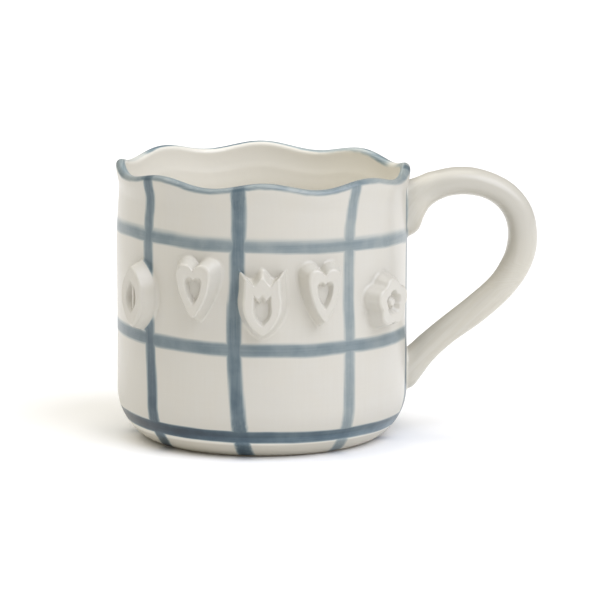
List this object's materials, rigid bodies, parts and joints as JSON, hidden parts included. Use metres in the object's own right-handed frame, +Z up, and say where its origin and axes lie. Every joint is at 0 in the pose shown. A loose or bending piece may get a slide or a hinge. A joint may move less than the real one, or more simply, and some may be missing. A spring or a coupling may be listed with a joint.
{
  "type": "stoneware mug",
  "caption": "Straight-sided glazed stoneware mug with a waved lip, a rounded lower corner, an open loop handle and raised relief tiles across the front.",
  "frame": {"origin": "centre of the foot ring's underside, on the cup's axis", "axes": "+Z up along the cup's axis, +X towards the handle, -Y is the front with the relief tiles"},
  "size_m": [0.1405, 0.1022, 0.0921],
  "materials": {
    "painted_glaze": "glossy cream glaze over slate-blue brushed bands and a blue lip; the foot ring is bare clay",
    "plain_glaze": "glossy cream glaze",
    "relief_glaze": "glossy cream glaze"
  },
  "bodies": {
    "root": {"mug_body": "painted_glaze", "mug_handle": "plain_glaze", "relief_leaf": "relief_glaze", "relief_heart_left": "relief_glaze", "relief_tulip": "relief_glaze", "relief_heart_right": "relief_glaze", "relief_flower": "relief_glaze"}
  },
  "joints": []
}
